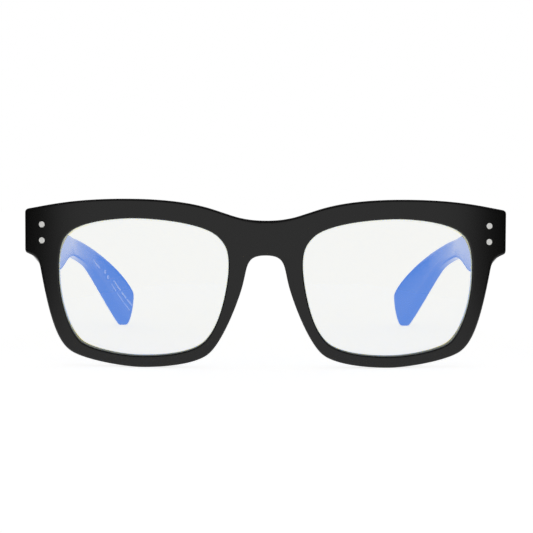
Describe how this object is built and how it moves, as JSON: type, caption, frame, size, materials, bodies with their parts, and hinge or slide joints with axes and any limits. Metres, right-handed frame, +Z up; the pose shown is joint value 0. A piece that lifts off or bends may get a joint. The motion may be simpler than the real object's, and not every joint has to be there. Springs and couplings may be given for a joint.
{
  "type": "blue light reading glasses",
  "caption": "Full-rim rectangular glasses with folding riveted temples, coated clear lenses and curved paddle tips.",
  "frame": {"origin": "centre of the footprint, on the surface that the open glasses stand on", "axes": "+X towards the wearer's left temple, +Y from the front towards the temple tips, +Z up"},
  "size_m": [0.1456, 0.149, 0.0501],
  "materials": {
    "frame_acetate": "satin black",
    "temple_acetate": "satin black",
    "nose_pad_acetate": "satin black",
    "coated_lens": "clear with a blue-reflecting coating",
    "rivet_metal": "polished flush",
    "hinge_metal": "satin",
    "screw_metal": "satin",
    "core_metal": "drawn wire"
  },
  "bodies": {
    "front": {"front_frame": "frame_acetate", "lens_left": "coated_lens", "lens_right": "coated_lens", "nose_pad_left": "nose_pad_acetate", "nose_pad_right": "nose_pad_acetate", "front_hinge_leaf_left": "hinge_metal", "front_hinge_leaf_right": "hinge_metal", "front_rivet_upper_left": "rivet_metal", "front_rivet_lower_left": "rivet_metal", "front_rivet_upper_right": "rivet_metal", "front_rivet_lower_right": "rivet_metal", "hinge_screw_left": "screw_metal", "hinge_screw_right": "screw_metal"},
    "left_arm": {"temple_left": "temple_acetate", "temple_core_left": "core_metal", "temple_hinge_leaf_left": "hinge_metal", "temple_rivet_upper_left": "rivet_metal", "temple_rivet_lower_left": "rivet_metal"},
    "right_arm": {"temple_right": "temple_acetate", "temple_core_right": "core_metal", "temple_hinge_leaf_right": "hinge_metal", "temple_rivet_upper_right": "rivet_metal", "temple_rivet_lower_right": "rivet_metal"}
  },
  "joints": [
    {"name": "fold_left", "type": "hinge", "parent": "front", "child": "left_arm", "pos_m": [0.0649, -0.0581, 0.0399], "axis": [0, 0, 1], "range_deg": [0, 86]},
    {"name": "fold_right", "type": "hinge", "parent": "front", "child": "right_arm", "pos_m": [-0.0649, -0.0581, 0.0399], "axis": [0, 0, -1], "range_deg": [0, 70]}
  ]
}
